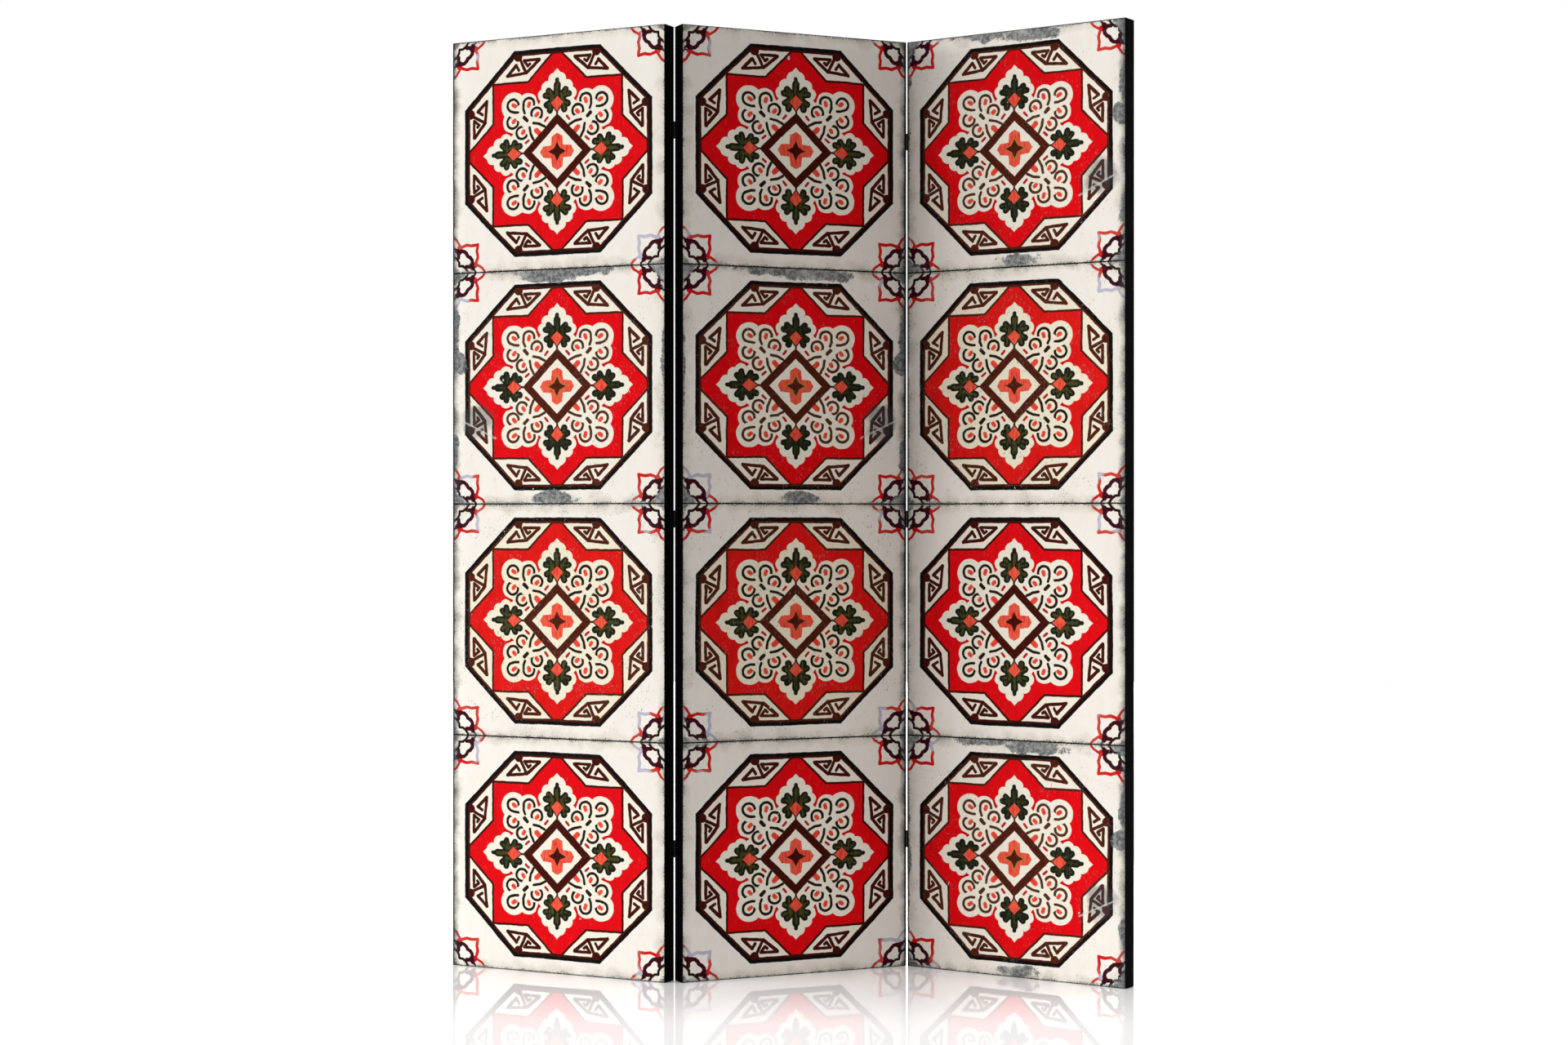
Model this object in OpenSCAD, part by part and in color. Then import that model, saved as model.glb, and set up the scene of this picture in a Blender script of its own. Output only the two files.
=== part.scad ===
// Folding screen of three panels. Printed cloth is stretched over pine frames, black
// tape covers their edges, and small butt hinges let the panels stand in a zigzag.
// Millimetres, +Z up. The origin is on the floor under the middle of the middle panel,
// +X runs along the row of panels, and the printed faces look towards -Y.

/* [Panels] */
// Width of one panel, edge to edge
panel_w = 450; // [340:5:600]
// Height of one panel
panel_h = 1720; // [1500:10:2000]

/* [Stance] */
// Turn of the middle panel away from the line of the row, degrees
middle_turn = 24.5; // [0:0.5:45]
// Fold between the left and middle panels, 0 when they lie in line, degrees
left_fold = 50.5; // [0:0.5:180]
// Fold between the middle and right panels, 0 when they lie in line, degrees
right_fold = 58; // [0:0.5:180]

/* [Frame] */
// Depth of the stiles and rails, front to back
frame_t = 30; // [28:0.5:40]
// Width of the stiles and rails, seen from the front
stile_w = 30; // [28:1:50]
// Width of the flat lip round the outside, which the cloth bears on
lip_w = 6; // [3:0.5:12]
// How far each face falls away from the cloth, from the lip to the inner edge
face_fall = 3; // [0:0.5:3]
// Height of a cross bar
bar_h = 30; // [28:1:60]
// Depth of a cross bar, front to back
bar_t = 20; // [14:0.5:22]
// Chamfer along the long edges of a cross bar
bar_chamfer = 2; // [0.5:0.5:3]

/* [Dowels] */
// Diameter of the dowels that cross each mitre
corner_dowel_d = 6; // [4:0.5:7]
// Length of the dowels that cross each mitre
corner_dowel_l = 30; // [20:1:32]
// Distance of those dowels from the outer edges of the frame's corner
corner_dowel_in = 18; // [16:0.5:20]
// Distance between the two dowels of a mitre, centre to centre
corner_dowel_gap = 13; // [9:0.5:14]
// Diameter of the dowels at the ends of the cross bars
bar_dowel_d = 8; // [6:0.5:9]
// Length of the dowels at the ends of the cross bars
bar_dowel_l = 38; // [30:1:40]
// Distance between the two dowels at a bar's end, centre to centre
bar_dowel_gap = 15; // [11:0.5:16]
// Clearance round a dowel
dowel_fit = 0.05; // [0.02:0.01:0.2]
// Space left beyond each end of a dowel
dowel_end_gap = 0.5; // [0.2:0.1:1]

/* [Cloth] */
// Thickness of the print cloth and of the lining cloth
cloth_t = 0.5; // [0.3:0.1:1]
// How far the print cloth turns back over the frame's edges
print_turn = 13; // [10:0.5:14]
// How far the lining cloth turns back over the frame's edges
lining_turn = 13; // [10:0.5:14]
// Thickness of the black edge tape
tape_t = 0.5; // [0.3:0.1:1]

/* [Staples] */
// Width of a staple's crown
staple_w = 10; // [6:0.5:12]
// Length of a staple's legs
staple_leg = 8; // [5:0.5:8]
// Breadth of the staple wire, across the row
wire_w = 0.9; // [0.6:0.1:1.2]
// Thickness of the staple wire
wire_t = 0.5; // [0.3:0.1:0.6]
// Largest distance from one staple to the next
staple_pitch = 150; // [80:5:200]
// Distance of the staples from the cut edge of the cloth
staple_in = 2.5; // [1:0.5:3]

/* [Hinges] */
// Height of a hinge
hinge_h = 30; // [26:1:60]
// Width of a leaf, from the pin's centre to the free edge
leaf_w = 16; // [14:0.5:18]
// Thickness of a leaf
leaf_t = 1; // [1:0.1:1.5]
// Distance between the two leaves when their panels lie in line
leaf_gap = 0.2; // [0.1:0.05:0.5]
// Outer diameter of the knuckles
knuckle_d = 4; // [3.6:0.1:5]
// Distance from a leaf's plate to the other leaf's knuckles
knuckle_room = 0.25; // [0.1:0.05:0.5]
// Distance between neighbouring knuckles along the pin
knuckle_gap = 0.1; // [0.05:0.05:0.3]
// Diameter of the hinge pin
pin_d = 2; // [1.5:0.1:2.4]
// Clearance between the pin and the bore of a knuckle
pin_fit = 0.03; // [0.01:0.01:0.1]
// Diameter of the rivet head at each end of a pin
pin_head_d = 3.2; // [2.6:0.1:3.6]
// Height of the rivet head at each end of a pin
pin_head_h = 0.6; // [0.3:0.1:1]
// Height of the bottom hinges, floor to centre
bottom_hinge_z = 237; // [100:1:450]
// Height of the middle hinges, floor to centre
middle_hinge_z = 832; // [700:1:900]
// Distance of the top hinges from the panel's top, to their centre
top_hinge_drop = 186; // [80:1:300]

/* [Screws] */
// Diameter of a hinge screw
screw_d = 2.5; // [2:0.1:2.8]
// Length of a hinge screw
screw_l = 14; // [10:0.5:18]
// Length of a screw's point
screw_tip = 3; // [1:0.5:4]
// Diameter of a screw's head
screw_head_d = 4.6; // [3.6:0.1:5]
// Height of a screw's countersunk head
screw_head_h = 0.9; // [0.6:0.05:0.9]
// Depth of a screw's head below the leaf's face
screw_sink = 0.05; // [0.02:0.01:0.08]
// Width of the slots of the cross in a screw's head
cross_w = 0.5; // [0.3:0.05:0.7]
// Length of the slots of the cross in a screw's head
cross_l = 2.6; // [1.6:0.1:3]
// Depth of the cross in a screw's head
cross_h = 0.5; // [0.3:0.05:0.5]
// Distance of the screws from the pin's centre
screw_in = 10; // [8:0.5:11]
// Distance between the two screws of a leaf
screw_gap = 16; // [12:0.5:20]
// Clearance round a screw
screw_fit = 0.04; // [0.02:0.01:0.1]

/* [Hidden] */
$fn = 48;
// A small overrun, so that no cut ends flush with a face.
over = 0.5;

// The stretched cloth wraps the frame, and the tape wraps the cloth's edges.
wrap_t = cloth_t + tape_t;
sheet_w = panel_w - 2 * tape_t;
sheet_h = panel_h - 2 * tape_t;
frame_w = panel_w - 2 * wrap_t;
frame_h = panel_h - 2 * wrap_t;
panel_t = frame_t + 2 * cloth_t;
inner_w = frame_w - 2 * stile_w;

// Two cross bars share the height of the panel evenly.
bar_count = 2;
function bar_z(n) = panel_h * n / (bar_count + 1);

// The pin stands off each panel's edge by half the gap between the panels, and its
// knuckles touch the plane of the face, so that the panels fold flat on each other.
edge_gap = 2 * leaf_t + leaf_gap;
pin_x = panel_w / 2 + edge_gap / 2;
pin_y = panel_t / 2 + knuckle_d / 2;
hinge_zs = [bottom_hinge_z, middle_hinge_z, panel_h - top_hinge_drop];
knuckle_l = (hinge_h - 2 * knuckle_gap) / 3;

// Panels count -1, 0, 1 from left to right. Joint -1 is left of the middle panel and
// has its knuckles at the back. Joint 1 is right of it, with its knuckles in front.
ROW = [-1, 0, 1];
ENDS = [-1, 1];
PANEL_NAMES = ["left_panel", "middle_panel", "right_panel"];
JOINT_NAMES = ["left", "", "right"];
LEVELS = ["bottom", "middle", "top"];
PANEL_PIECES = [
    "left_stile", "right_stile", "top_rail", "bottom_rail", "lower_bar", "upper_bar",
    "dowels", "print_cloth", "lining_cloth", "staples", "edge_tape"
];
HINGE_PIECES = ["outer_leaf", "inner_leaf", "pin"];
SCREW_PIECES = ["outer_screws", "inner_screws"];

function panel_node(p, piece) = str(PANEL_NAMES[p + 1], "_", piece);
function hinge_node(j, level, piece) = str(JOINT_NAMES[j + 1], "_", level, "_hinge_", piece);
function screw_node(j, piece) = str(JOINT_NAMES[j + 1], "_joint_", piece);

// ---- Places ----

// Puts a panel's own frame, with its origin under its middle, into the row.
module on_panel(p) {
    fold = p < 0 ? left_fold : right_fold;
    rotate(middle_turn)
        if (p == 0) {
            children();
        } else {
            translate([p * pin_x, -p * pin_y])
                rotate(-fold)
                    translate([p * pin_x, p * pin_y])
                        children();
        }
}

// Joints of panel p: the middle panel has one at each edge, the outer ones have one.
function joints_of(p) = p == 0 ? ENDS : [p];

// Pin line of joint j on panel p, seen so that the panel's edge is on the pin's -X
// side and its body on the -Y side.
module at_joint(p, j) {
    side = p == 0 ? j : -j;
    translate([side * pin_x, -j * pin_y, 0])
        mirror([side < 0 ? 1 : 0, 0, 0])
            mirror([0, j > 0 ? 1 : 0, 0])
                children();
}

// The six screws of joint j on panel p. Each child starts at the leaf's face and
// grows along +Z into the wood.
module at_screws(p, j) {
    at_joint(p, j)
        for (z = hinge_zs, end = ENDS)
            translate([-leaf_gap / 2, -screw_in, z + end * screw_gap / 2])
                rotate([0, -90, 0])
                    children();
}

// ---- Frame ----

// Section of a stile or rail, its outer edge on x = 0 and its inner edge at stile_w.
module member_section() {
    inner_t = frame_t - 2 * face_fall;
    polygon([
        [0, -frame_t / 2],
        [lip_w, -frame_t / 2],
        [stile_w, -inner_t / 2],
        [stile_w, inner_t / 2],
        [lip_w, frame_t / 2],
        [0, frame_t / 2]
    ]);
}

// A stile or rail with both ends mitred, standing along +Z.
module member(length) {
    intersection() {
        linear_extrude(length)
            member_section();
        rotate([90, 0, 0])
            linear_extrude(frame_t + 2 * over, center = true)
                polygon([
                    [0, 0],
                    [stile_w, stile_w],
                    [stile_w, length - stile_w],
                    [0, length]
                ]);
    }
}

// Dowels across the four mitres, or their holes with a fit and end gap.
module corner_dowels(fit = 0, end_gap = 0) {
    for (x = ENDS, y = ENDS, z = ENDS)
        translate([
            x * (frame_w / 2 - corner_dowel_in),
            y * corner_dowel_gap / 2,
            panel_h / 2 + z * (frame_h / 2 - corner_dowel_in)
        ])
            rotate([0, -45 * x * z, 0])
                cylinder(
                    d = corner_dowel_d + 2 * fit,
                    h = corner_dowel_l + 2 * end_gap,
                    center = true
                );
}

// Dowels at both ends of the cross bars, or their holes with a fit and end gap.
module bar_dowels(fit = 0, end_gap = 0) {
    for (x = ENDS, n = [1:bar_count], z = ENDS)
        translate([x * inner_w / 2, 0, bar_z(n) + z * bar_dowel_gap / 2])
            rotate([0, 90, 0])
                cylinder(
                    d = bar_dowel_d + 2 * fit,
                    h = bar_dowel_l + 2 * end_gap,
                    center = true
                );
}

// Stile of panel p on side -1 or 1, bored for its dowels and for the hinge screws.
module stile(p, side) {
    color("burlywood")
        difference() {
            rotate(side < 0 ? 0 : 180)
                translate([-frame_w / 2, 0, wrap_t])
                    member(frame_h);
            corner_dowels(dowel_fit, dowel_end_gap);
            bar_dowels(dowel_fit, dowel_end_gap);
            for (j = joints_of(p))
                at_screws(p, j)
                    screw_hole();
        }
}

// Rail at the bottom (-1) or the top (1).
module rail(end) {
    color("burlywood")
        difference() {
            translate([0, 0, panel_h / 2])
                rotate([end < 0 ? 180 : 0, 0, 0])
                    translate([-frame_w / 2, 0, frame_h / 2])
                        rotate([0, 90, 0])
                            member(frame_w);
            corner_dowels(dowel_fit, dowel_end_gap);
        }
}

// Cross bar n, counted from the bottom.
module cross_bar(n) {
    y = bar_t / 2;
    z = bar_h / 2;
    c = bar_chamfer;
    color("burlywood")
        difference() {
            translate([0, 0, bar_z(n)])
                rotate([90, 0, 90])
                    linear_extrude(inner_w, center = true)
                        polygon([
                            [-y, c - z], [c - y, -z], [y - c, -z], [y, c - z],
                            [y, z - c], [y - c, z], [c - y, z], [-y, z - c]
                        ]);
            bar_dowels(dowel_fit, dowel_end_gap);
        }
}

module dowels() {
    color("tan") {
        corner_dowels();
        bar_dowels();
    }
}

// ---- Cloth, staples and tape ----

// A cloth stretched over the front (face -1) or the back (face 1) of panel p, its
// edges turned back over the frame.
module stretched_cloth(p, face, turn) {
    difference() {
        translate([0, face * (panel_t - turn) / 2, panel_h / 2])
            cube([sheet_w, turn, sheet_h], center = true);
        translate([0, face * ((panel_t - turn) / 2 - cloth_t), panel_h / 2])
            cube([frame_w, turn, frame_h], center = true);
        for (j = joints_of(p))
            at_screws(p, j)
                screw_hole();
    }
}

module print_cloth(p) {
    color("oldlace")
        stretched_cloth(p, -1, print_turn);
}

module lining_cloth(p) {
    color("whitesmoke")
        stretched_cloth(p, 1, lining_turn);
}

// One staple, its crown flush with the plane z = 0 and its legs pointing down.
module staple() {
    rotate([90, 0, 0])
        linear_extrude(wire_w, center = true)
            difference() {
                translate([-staple_w / 2, -staple_leg])
                    square([staple_w, staple_leg]);
                translate([wire_t - staple_w / 2, -staple_leg - over])
                    square([staple_w - 2 * wire_t, staple_leg - wire_t + over]);
            }
}

// A row of staples along X, spread evenly over this length.
module staple_row(length) {
    count = ceil(length / staple_pitch);
    for (n = [0:count - 1])
        translate([length * ((n + 0.5) / count - 0.5), 0, 0])
            staple();
}

// Both rows on all four edges of a panel, one row through each cloth.
module staples() {
    print_y = panel_t / 2 - print_turn + staple_in;
    lining_y = panel_t / 2 - lining_turn + staple_in;
    color("silver")
        for (y = [-print_y, lining_y])
            translate([0, y, panel_h / 2])
                for (end = ENDS) {
                    rotate([0, end * 90, 0])
                        translate([0, 0, sheet_w / 2])
                            staple_row(frame_h);
                    rotate([end < 0 ? 180 : 0, 0, 0])
                        translate([0, 0, sheet_h / 2])
                            staple_row(frame_w);
                }
}

// Tape round all four edges of panel p, as wide as the panel is thick.
module edge_tape(p) {
    color("black")
        difference() {
            translate([0, 0, panel_h / 2])
                cube([panel_w, panel_t, panel_h], center = true);
            translate([0, 0, panel_h / 2])
                cube([sheet_w, panel_t + 2 * over, sheet_h], center = true);
            for (j = joints_of(p))
                at_screws(p, j)
                    screw_hole();
        }
}

// ---- Hinges ----

// One leaf at the pin line, with knuckles at the given places, 0 to 2 from below.
module leaf(knuckles) {
    color("black")
        difference() {
            translate([0, 0, -hinge_h / 2]) {
                translate([-leaf_gap / 2 - leaf_t, -leaf_w, 0])
                    cube([leaf_t, leaf_w - knuckle_d / 2 - knuckle_room, hinge_h]);
                for (k = knuckles)
                    translate([0, 0, k * (knuckle_l + knuckle_gap)]) {
                        cylinder(d = knuckle_d, h = knuckle_l);
                        translate([-leaf_gap / 2 - leaf_t, -leaf_w, 0])
                            cube([leaf_t, leaf_w, knuckle_l]);
                    }
            }
            cylinder(d = pin_d + 2 * pin_fit, h = hinge_h + 2 * over, center = true);
            for (end = ENDS)
                translate([-leaf_gap / 2, -screw_in, end * screw_gap / 2])
                    rotate([0, -90, 0])
                        screw_hole();
        }
}

// Leaf on an outer panel, with the single knuckle in the middle.
module outer_leaf(j, z) {
    at_joint(j, j)
        translate([0, 0, z])
            leaf([1]);
}

// Leaf on the middle panel, with the two end knuckles.
module inner_leaf(j, z) {
    at_joint(0, j)
        translate([0, 0, z])
            leaf([0, 2]);
}

module hinge_pin(j, z) {
    color("dimgray")
        at_joint(0, j)
            translate([0, 0, z]) {
                cylinder(d = pin_d, h = hinge_h, center = true);
                for (end = ENDS)
                    translate([0, 0, end * (hinge_h + pin_head_h) / 2])
                        cylinder(d = pin_head_d, h = pin_head_h, center = true);
            }
}

// A countersunk screw that enters at z = 0 and grows along +Z.
module screw() {
    translate([0, 0, screw_sink])
        difference() {
            union() {
                cylinder(d1 = screw_head_d, d2 = screw_d, h = screw_head_h);
                cylinder(d = screw_d, h = screw_l - screw_tip);
                translate([0, 0, screw_l - screw_tip])
                    cylinder(d1 = screw_d, d2 = cross_w, h = screw_tip);
            }
            for (a = [0, 90])
                rotate(a)
                    cube([cross_l, cross_w, 2 * cross_h], center = true);
        }
}

// What a screw and its head need cleared, through the leaf and into the wood.
module screw_hole() {
    head_d = screw_head_d + 2 * screw_fit;
    shank_d = screw_d + 2 * screw_fit;
    translate([0, 0, screw_sink]) {
        translate([0, 0, -over])
            cylinder(d = head_d, h = over);
        cylinder(d1 = head_d, d2 = shank_d, h = screw_head_h);
        cylinder(d = shank_d, h = screw_l + over);
    }
}

// The six screws of joint j in panel p.
module joint_screws(p, j) {
    color("dimgray")
        at_screws(p, j)
            screw();
}

// ---- The pieces, one node each ----

for (p = ROW) {
    on_panel(p) stile(p, -1);
    on_panel(p) stile(p, 1);
    on_panel(p) rail(1);
    on_panel(p) rail(-1);
    on_panel(p) cross_bar(1);
    on_panel(p) cross_bar(2);
    on_panel(p) dowels();
    on_panel(p) print_cloth(p);
    on_panel(p) lining_cloth(p);
    on_panel(p) staples();
    on_panel(p) edge_tape(p);
}
for (j = ENDS) {
    for (n = [0:2]) {
        z = hinge_zs[n];
        level = LEVELS[n];
        on_panel(j) outer_leaf(j, z);
        on_panel(0) inner_leaf(j, z);
        on_panel(0) hinge_pin(j, z);
    }
    on_panel(j) joint_screws(j, j);
    on_panel(0) joint_screws(0, j);
}
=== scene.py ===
# %% [markdown]
# # A folding screen of three printed cloth panels
# The real object is a room divider: three pine frames covered with cloth that is printed with
# old painted tiles, taped black round the edges and joined by small butt hinges. The frame that
# is loaded here is the CAD model, which already has every board, staple, hinge and screw at its
# true size. This script gives it a skin: modelled cloth and tape, and a finish for each piece.
# The skin could have been painted on the CAD meshes alone, but their edges are as sharp as cut
# metal, and cloth needs soft ones.

# %% Load the frame
import math

import bmesh
import bpy
from mathutils import Euler, Matrix, Vector


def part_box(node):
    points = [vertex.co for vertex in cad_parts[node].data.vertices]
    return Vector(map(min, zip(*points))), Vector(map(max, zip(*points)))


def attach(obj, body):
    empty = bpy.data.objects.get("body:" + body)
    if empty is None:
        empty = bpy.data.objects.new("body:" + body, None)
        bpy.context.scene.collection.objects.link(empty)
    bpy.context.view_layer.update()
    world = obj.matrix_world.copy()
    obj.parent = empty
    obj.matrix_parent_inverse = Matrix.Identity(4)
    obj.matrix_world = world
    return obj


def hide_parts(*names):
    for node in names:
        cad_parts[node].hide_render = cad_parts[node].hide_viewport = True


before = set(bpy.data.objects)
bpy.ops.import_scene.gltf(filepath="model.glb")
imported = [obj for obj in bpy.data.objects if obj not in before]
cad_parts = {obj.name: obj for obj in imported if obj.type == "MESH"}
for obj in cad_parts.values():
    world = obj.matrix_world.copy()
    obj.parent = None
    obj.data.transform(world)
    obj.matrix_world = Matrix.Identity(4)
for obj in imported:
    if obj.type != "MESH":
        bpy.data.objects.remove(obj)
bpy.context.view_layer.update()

# %% [markdown]
# ## Where the panels stand
# Each panel is turned about a vertical line, so everything on it is modelled flat, facing the
# viewer, and turned into place at the end. The turns are the ones the hinges hold in the
# photograph. The middle of a panel is the middle of its ring of edge tape, which the frame gives.

# %% Panel places
MM = 0.001
PANEL_TURN = {"left": -26.0, "middle": 24.5, "right": -33.5}
PANEL_WIDTH = 450 * MM
PANEL_HEIGHT = 1720 * MM
PANEL_DEPTH = 31 * MM
CLOTH = 0.5 * MM
TAPE = 0.5 * MM


def panel_place(side):
    """The matrix that carries a mesh modelled at the origin to where the panel stands."""
    low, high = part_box(f"{side}_panel_edge_tape")
    middle = (low + high) / 2
    turn = Matrix.Rotation(math.radians(PANEL_TURN[side]), 4, "Z")
    return Matrix.Translation((middle.x, middle.y, 0)) @ turn


for side in PANEL_TURN:
    print(side, "panel stands at", tuple(round(v, 4) for v in panel_place(side).translation))

# %% [markdown]
# ## The camera
# The photograph was taken from about five metres, level, at half the height of the screen. The
# lens and place were found by matching the panels' corners. A long lens keeps the uprights
# parallel, and a level camera keeps them vertical.

# %% Camera
LENS = 61.71
SENSOR = 36.0
CAMERA_PLACE = (-0.0154, -4.926, 0.8257)
camera_data = bpy.data.cameras.new("camera")
camera_data.lens = LENS
camera_data.sensor_width = SENSOR
camera = bpy.data.objects.new("camera", camera_data)
camera.location = CAMERA_PLACE
camera.rotation_euler = Euler((math.radians(90), 0, 0))
bpy.context.scene.collection.objects.link(camera)
bpy.context.scene.camera = camera
bpy.context.scene.view_settings.view_transform = "Standard"
print("camera lens", LENS, "mm, from", CAMERA_PLACE)

# %% [markdown]
# ## Sums that build nodes
# A shader is a web of small sums. Wiring hundreds of them by hand is slow to write and hard to
# read, so one small class wraps a socket: adding, multiplying or comparing two wires adds the
# node that does it. Numbers use Math nodes, and vectors use Vector Math nodes. Any other node
# comes from `node`, which takes its type, its settings and what goes into its sockets.

# %% Wires
class Wire:
    """One output socket; Python arithmetic on it adds the nodes that do the sum."""

    def __init__(self, tree, socket=None):
        self.tree, self.socket = tree, socket

    def node(self, kind, settings=None, sockets=None, output=0):
        """Adds any node, with its settings and what its sockets hold, and gives one output."""
        made = self.tree.nodes.new(kind)
        for name, value in (settings or {}).items():
            setattr(made, name, value)
        for key, value in (sockets or {}).items():
            if isinstance(value, Wire):
                self.tree.links.new(value.socket, made.inputs[key])
            else:
                made.inputs[key].default_value = value
        return Wire(self.tree, made.outputs[output])

    def sum(self, operation, *values, clamp=False, output=0):
        """One sum of numbers, or of vectors when any value is one."""
        if any(is_wide(value) for value in values):
            values = [(v, v, v) if isinstance(v, (int, float)) else v for v in values]
            return self.node(
                "ShaderNodeVectorMath", {"operation": operation}, dict(enumerate(values)), output
            )
        settings = {"operation": operation, "use_clamp": clamp}
        return self.node("ShaderNodeMath", settings, dict(enumerate(values)))

    def __add__(self, other):
        return self.sum("ADD", self, other)

    def __sub__(self, other):
        return self.sum("SUBTRACT", self, other)

    def __rsub__(self, other):
        return self.sum("SUBTRACT", other, self)

    def __mul__(self, other):
        return self.sum("MULTIPLY", self, other)

    def __truediv__(self, other):
        return self.sum("DIVIDE", self, other)

    def __abs__(self):
        return self.sum("ABSOLUTE", self)

    def floor(self):
        return self.sum("FLOOR", self)

    def fraction(self):
        return self.sum("FRACTION" if is_wide(self) else "FRACT", self)

    def least(self, other):
        return self.sum("MINIMUM", self, other)

    def most(self, other):
        return self.sum("MAXIMUM", self, other)

    def dot(self, other):
        return self.sum("DOT_PRODUCT", self, other, output=1)

    def far(self, point):
        """Distance from a point."""
        return self.sum("DISTANCE", self, point, output=1)

    def clamp(self):
        return self.node("ShaderNodeClamp", sockets={0: self})

    def part(self, axis):
        return self.node("ShaderNodeSeparateXYZ", sockets={0: self}, output=axis)


def is_wide(value):
    """True for a vector or colour, as a wire or as a tuple."""
    if isinstance(value, Wire):
        return value.socket.type in ("VECTOR", "RGBA")
    return isinstance(value, tuple)


print("a tuple counts as wide:", is_wide((0, 0, 1)), "and a number:", is_wide(1))

# %% [markdown]
# ## Colours, blends and noise
# Five helpers cover nearly all that the finishes need: a colour by its numbers on the screen, a
# blend of two colours, a ramp between two levels, a soft noise, and a material that takes its
# sockets from a function. Old dirt, brush marks and felt are all noise, cut off at some level.

# %% Helpers
def shown(red, green, blue):
    """The linear colour of a node for a colour as a screen shows it, 0 to 255 each (sRGB)."""
    return tuple(
        c / 12.92 if c <= 0.04045 else ((c + 0.055) / 1.055) ** 2.4
        for c in (red / 255, green / 255, blue / 255)
    ) + (1.0,)


def blend(factor, under, over):
    """Two colours mixed: the one under where factor is 0, the one over where it is 1."""
    wire = next(v for v in (factor, under, over) if isinstance(v, Wire))
    settings = {"data_type": "RGBA"}
    return wire.node("ShaderNodeMix", settings, {0: factor, 6: under, 7: over}, output=2)


def between(wire, low, high):
    """0 where the wire is at low or under, 1 where it is at high or over, even in between."""
    sockets = {0: wire, 1: low, 2: high, 3: 0.0, 4: 1.0}
    return wire.node("ShaderNodeMapRange", {"clamp": True}, sockets)


def noise(point, scale, detail, roughness=0.5, colour=False):
    """Soft random patches, as a number, or as three numbers at once for a colour."""
    sockets = {"Vector": point, "Scale": scale, "Detail": detail, "Roughness": roughness}
    return point.node("ShaderNodeTexNoise", sockets=sockets, output=1 if colour else 0)


def surface(name, paint):
    """A material whose look comes from paint, a function that fills in the Principled sockets."""
    material = bpy.data.materials.new(name)
    material.use_nodes = True
    tree = material.node_tree
    principled = tree.nodes["Principled BSDF"]
    for socket, value in paint(Wire(tree)).items():
        if isinstance(value, Wire):
            tree.links.new(value.socket, principled.inputs[socket])
        else:
            principled.inputs[socket].default_value = value
    print("finish", name, "has", len(tree.nodes), "nodes")
    return material


print("half grey on a screen is", round(shown(128, 128, 128)[0], 3), "in a node")

# %% [markdown]
# ## Brush strokes by distance
# The tile ornament is drawn the way a painter fills it in: flat shapes, one over another. In a
# shader a shape is a distance, below zero inside and above zero outside. A round dot is the
# distance from its middle, a stroke is the distance from a line, and two shapes join by taking
# the lesser distance. All sizes are in millimetres on the cloth. Ink has a soft edge, and the dark
# inks bleed a little, so their lines are laid wider than they are drawn.

# %% Shapes
SOFT_EDGE = 0.9
BLEED = 0.35
DIAGONAL = (0.7071, 0.7071, 0)


def inside(distance, spread=0.0):
    """1 in the shape and 0 outside, soft at the edge as ink on cloth; spread makes it bolder."""
    at_edge = 0.5 + spread / SOFT_EDGE
    return distance.sum("MULTIPLY_ADD", distance, -1 / SOFT_EDGE, at_edge, clamp=True)


def lay(colour, shape, ink, spread=0.0):
    """Ink in the shape, over what is painted so far."""
    return blend(inside(shape, spread), colour, ink)


def any_of(*shapes):
    """Several shapes as one."""
    whole = shapes[0]
    for shape in shapes[1:]:
        whole = whole.least(shape)
    return whole


def dot(point, x, y, radius):
    """A round dot."""
    return point.far((x, y, 0)) - radius


def stroke(point, start, end, width):
    """A brush stroke with round ends."""
    run = (end[0] - start[0], end[1] - start[1])
    length = run[0] ** 2 + run[1] ** 2
    off = point - (start[0], start[1], 0)
    along = off.dot((run[0] / length, run[1] / length, 0)).clamp()
    foot = off.node(
        "ShaderNodeVectorMath", {"operation": "SCALE"}, {0: (run[0], run[1], 0), "Scale": along}
    )
    return off.far(foot) - width / 2


def brush_line(point, width, *stops):
    """Strokes from stop to stop."""
    return any_of(*(stroke(point, start, end, width) for start, end in zip(stops, stops[1:])))


def side_of(point, start, end):
    """Distance to the straight line from start to end, below zero on its left."""
    run = (end[0] - start[0], end[1] - start[1])
    length = math.hypot(*run)
    across = (run[1] / length, -run[0] / length, 0)
    return point.dot(across) - (across[0] * start[0] + across[1] * start[1])


def hook(point, x, y, radius, width, mouth, half_angle):
    """A ring left open on one side; mouth is the opening's direction, in degrees."""
    ring = abs(point.far((x, y, 0)) - radius) - width / 2
    c, s = math.cos(math.radians(mouth)), math.sin(math.radians(mouth))
    chord = radius * math.cos(math.radians(half_angle)) + x * c + y * s
    return ring.most(point.dot((c, s, 0)) - chord)


def joined(first, second, melt):
    """Two shapes run together as wet paint does."""
    return first.node("ShaderNodeMath", {"operation": "SMOOTH_MIN"}, {0: first, 1: second, 2: melt})


print("ink is soft over", SOFT_EDGE, "mm, and dark ink is", BLEED, "mm bolder")

# %% [markdown]
# ## The parts of the ornament
# Every tile is the same octagon star with a four-lobed medallion. The star repeats eight times
# round the centre, so most of it is drawn once, in one eighth of the tile: `fold` holds the
# greater and the lesser of the two distances from the centre lines. The hooks of the medallion
# only repeat in four, so they use `quarter`, the plain distances.

# %% Star and cells
OCTAGON_SIDE = 198.5
OCTAGON_CUT = 204.7
STAR_SIDE = 135
STAR_CUT = 138.2


def octagon(fold):
    """The frame of a tile: its four sides and its four cut corners."""
    return (fold.part(0) - OCTAGON_SIDE).most(fold.dot(DIAGONAL) - OCTAGON_CUT)


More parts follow.
